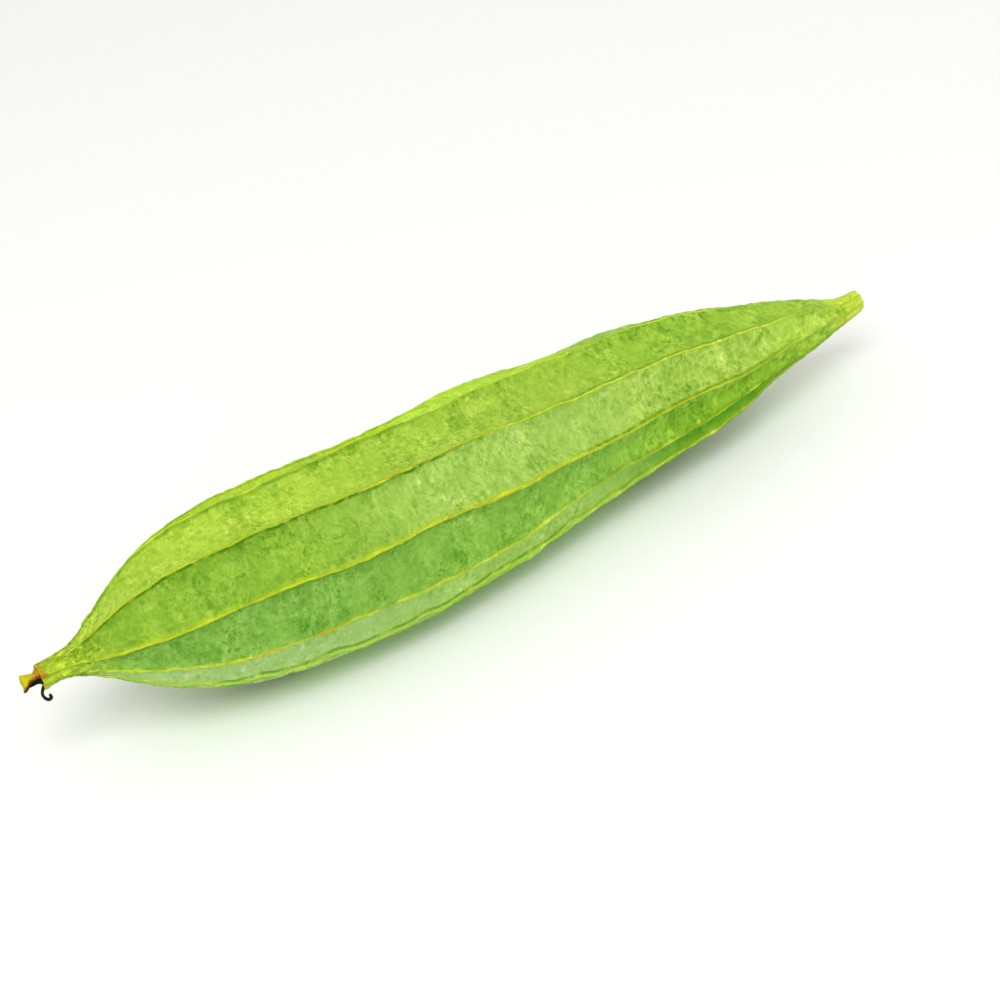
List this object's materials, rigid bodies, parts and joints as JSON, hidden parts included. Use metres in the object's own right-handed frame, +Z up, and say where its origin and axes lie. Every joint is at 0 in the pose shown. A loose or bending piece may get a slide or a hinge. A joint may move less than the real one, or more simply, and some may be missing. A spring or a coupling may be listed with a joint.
{
  "type": "ridge gourd",
  "caption": "Whole ridge gourd lying on its side: a long club-shaped green fruit with sharp lengthwise ridges, a cut stalk and a withered flower end.",
  "frame": {"origin": "on the surface that the gourd lies on, under the middle of its bounding box", "axes": "+X along the fruit towards the cut stalk, -X towards the withered flower, +Z up"},
  "size_m": [0.28, 0.0568, 0.0543],
  "materials": {
    "skin": "fresh waxy plant skin, finely wrinkled, yellow-green and mottled, with yellow ridge crests",
    "stalk": "fresh green stalk, smooth, yellow-green",
    "remnant": "withered flower base, dry and brown-yellow",
    "style": "dried thread of the flower's style, black-brown"
  },
  "bodies": {
    "root": {"fruit": "skin", "cut_stalk": "stalk", "flower_remnant": "remnant", "dried_style": "style"}
  },
  "joints": []
}
